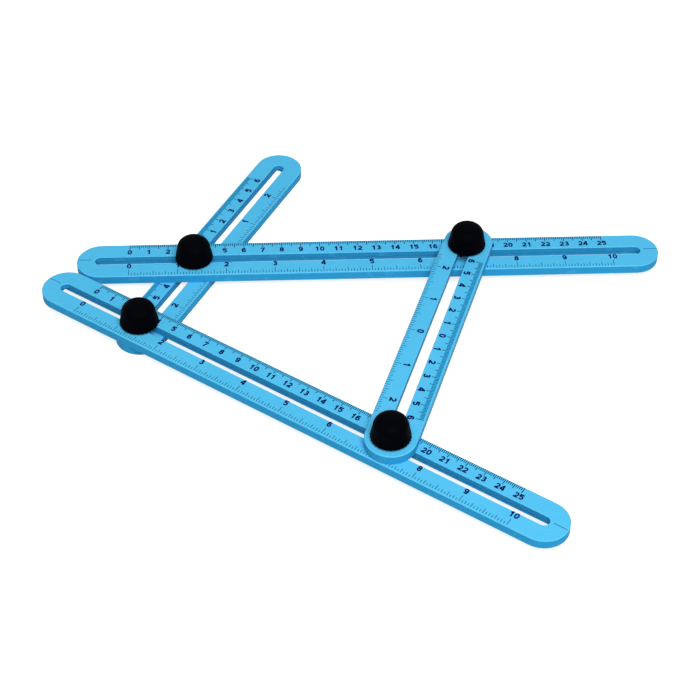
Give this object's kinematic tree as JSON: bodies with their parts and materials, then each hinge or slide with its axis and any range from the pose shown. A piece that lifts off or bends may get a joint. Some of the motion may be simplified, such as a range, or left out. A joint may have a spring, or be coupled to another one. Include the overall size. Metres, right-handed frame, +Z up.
{
  "type": "folding angle template ruler",
  "caption": "Slotted plastic ruler arms clamped at their crossings by domed knobs, folding and sliding to copy and measure angles.",
  "frame": {"origin": "middle of the outline seen from above, on the underside of the lower short arm", "axes": "+X along the upper long arm from its 0 end to its 25 cm end, +Z up out of the printed faces"},
  "size_m": [0.323, 0.2965, 0.0292],
  "materials": {
    "arm_plastic": "satin moulded plastic with printed scales",
    "knob_plastic": "matte black moulded plastic",
    "washer_nylon": "dark nylon",
    "bolt_steel": "bright zinc plate",
    "insert_brass": "turned"
  },
  "bodies": {
    "short_arm_a": {"short_arm_a": "arm_plastic"},
    "clamp_1": {"bolt_1": "bolt_steel", "washer_1": "washer_nylon"},
    "clamp_2": {"bolt_2": "bolt_steel", "washer_2": "washer_nylon"},
    "clamp_3": {"bolt_3": "bolt_steel", "washer_3": "washer_nylon"},
    "clamp_4": {"bolt_4": "bolt_steel"},
    "swivel_4": {"washer_4": "washer_nylon"},
    "long_arm_a": {"long_arm_a": "arm_plastic"},
    "long_arm_b": {"long_arm_b": "arm_plastic"},
    "short_arm_b": {"short_arm_b": "arm_plastic"},
    "knob_1": {"knob_1": "knob_plastic", "insert_1": "insert_brass"},
    "knob_2": {"knob_2": "knob_plastic", "insert_2": "insert_brass"},
    "knob_3": {"knob_3": "knob_plastic", "insert_3": "insert_brass"},
    "knob_4": {"knob_4": "knob_plastic", "insert_4": "insert_brass"}
  },
  "joints": [
    {"name": "frame_slide", "type": "slide", "parent": "short_arm_a", "child": "clamp_1", "axis": [0.4772, 0.8788, 0], "range_m": [-0.0003, 0.0957]},
    {"name": "clamp_2_slide", "type": "slide", "parent": "short_arm_a", "child": "clamp_2", "axis": [0.4772, 0.8788, 0], "range_m": [-0.0004, 0.0958]},
    {"name": "fold", "type": "hinge", "parent": "clamp_1", "child": "clamp_4", "pos_m": [-0.11033, 0.0029, 0.0053], "axis": [0, 0, 1], "range_deg": [0, 19]},
    {"name": "long_arm_b_fold", "type": "hinge", "parent": "clamp_2", "child": "clamp_3", "pos_m": [-0.08366, 0.05202, 0.0053], "axis": [0, 0, 1], "range_deg": [-22.92, 0.5]},
    {"name": "short_arm_b_fold", "type": "hinge", "parent": "clamp_4", "child": "swivel_4", "pos_m": [0.01107, -0.08661, 0.0106], "axis": [0, 0, 1], "range_deg": [-20.93, 0.5]},
    {"name": "long_arm_a_slide", "type": "slide", "parent": "clamp_4", "child": "long_arm_a", "axis": [0.8049, -0.5934, 0], "range_m": [-0.083, 0.0489]},
    {"name": "long_arm_b_slide", "type": "slide", "parent": "clamp_3", "child": "long_arm_b", "axis": [1, 0, 0], "range_m": [0, 0.0495]},
    {"name": "short_arm_b_slide", "type": "slide", "parent": "swivel_4", "child": "short_arm_b", "axis": [0.3289, 0.9444, 0], "range_m": [-0.0047, 0.0004]},
    {"name": "knob_1_turn", "type": "hinge", "parent": "clamp_1", "child": "knob_1", "pos_m": [-0.11033, 0.0029, 0.0116], "axis": [0, 0, 1], "range_deg": [0, 720]},
    {"name": "knob_2_turn", "type": "hinge", "parent": "clamp_2", "child": "knob_2", "pos_m": [-0.08366, 0.05202, 0.0116], "axis": [0, 0, 1], "range_deg": [0, 720]},
    {"name": "knob_3_turn", "type": "hinge", "parent": "clamp_3", "child": "knob_3", "pos_m": [0.05935, 0.05202, 0.0169], "axis": [0, 0, 1], "range_deg": [0, 720]},
    {"name": "knob_4_turn", "type": "hinge", "parent": "clamp_4", "child": "knob_4", "pos_m": [0.01107, -0.08661, 0.0169], "axis": [0, 0, 1], "range_deg": [0, 720]}
  ],
  "couplings": [
    {"joint": "clamp_2_slide", "follows": "frame_slide", "ratio": 1},
    {"joint": "long_arm_b_fold", "follows": "fold", "ratio": -1.18},
    {"joint": "short_arm_b_fold", "follows": "fold", "ratio": -1.075}
  ]
}
